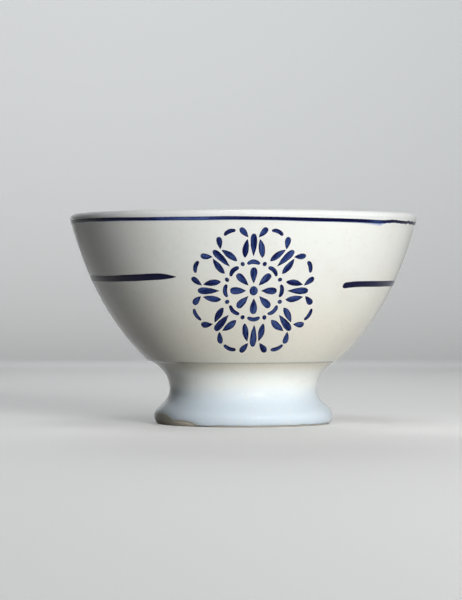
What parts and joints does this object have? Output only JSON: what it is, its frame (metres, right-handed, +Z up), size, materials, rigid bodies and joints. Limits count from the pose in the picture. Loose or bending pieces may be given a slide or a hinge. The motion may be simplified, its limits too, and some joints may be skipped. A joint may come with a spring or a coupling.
{
  "type": "footed latte bowl",
  "caption": "Footed earthenware bowl for milky coffee, white glaze, with a blue line under the lip, a broken blue side band and a stencilled blue rosette on the front.",
  "frame": {"origin": "middle of the flat ring that the foot rests on", "axes": "+Z up along the bowl's axis, -Y out of the decorated front, +X to the viewer's right"},
  "size_m": [0.145, 0.145, 0.0874],
  "materials": {
    "biscuit": "matt, unglazed",
    "slip": "matt, wiped",
    "glaze": "gloss, finely crazed",
    "underside_glaze": "gloss, thin",
    "cobalt_blue": "gloss, brushed"
  },
  "bodies": {
    "root": {"bowl_body": "biscuit", "pedestal_foot": "biscuit", "luting_slip": "slip", "glaze_coat": "glaze", "underside_glaze": "underside_glaze", "rim_line": "cobalt_blue", "side_band": "cobalt_blue", "rosette_eye": "cobalt_blue", "rosette_petals": "cobalt_blue", "rosette_arches": "cobalt_blue", "rosette_beads": "cobalt_blue", "rosette_leaves": "cobalt_blue", "rosette_fans": "cobalt_blue", "rosette_border": "cobalt_blue"}
  },
  "joints": []
}
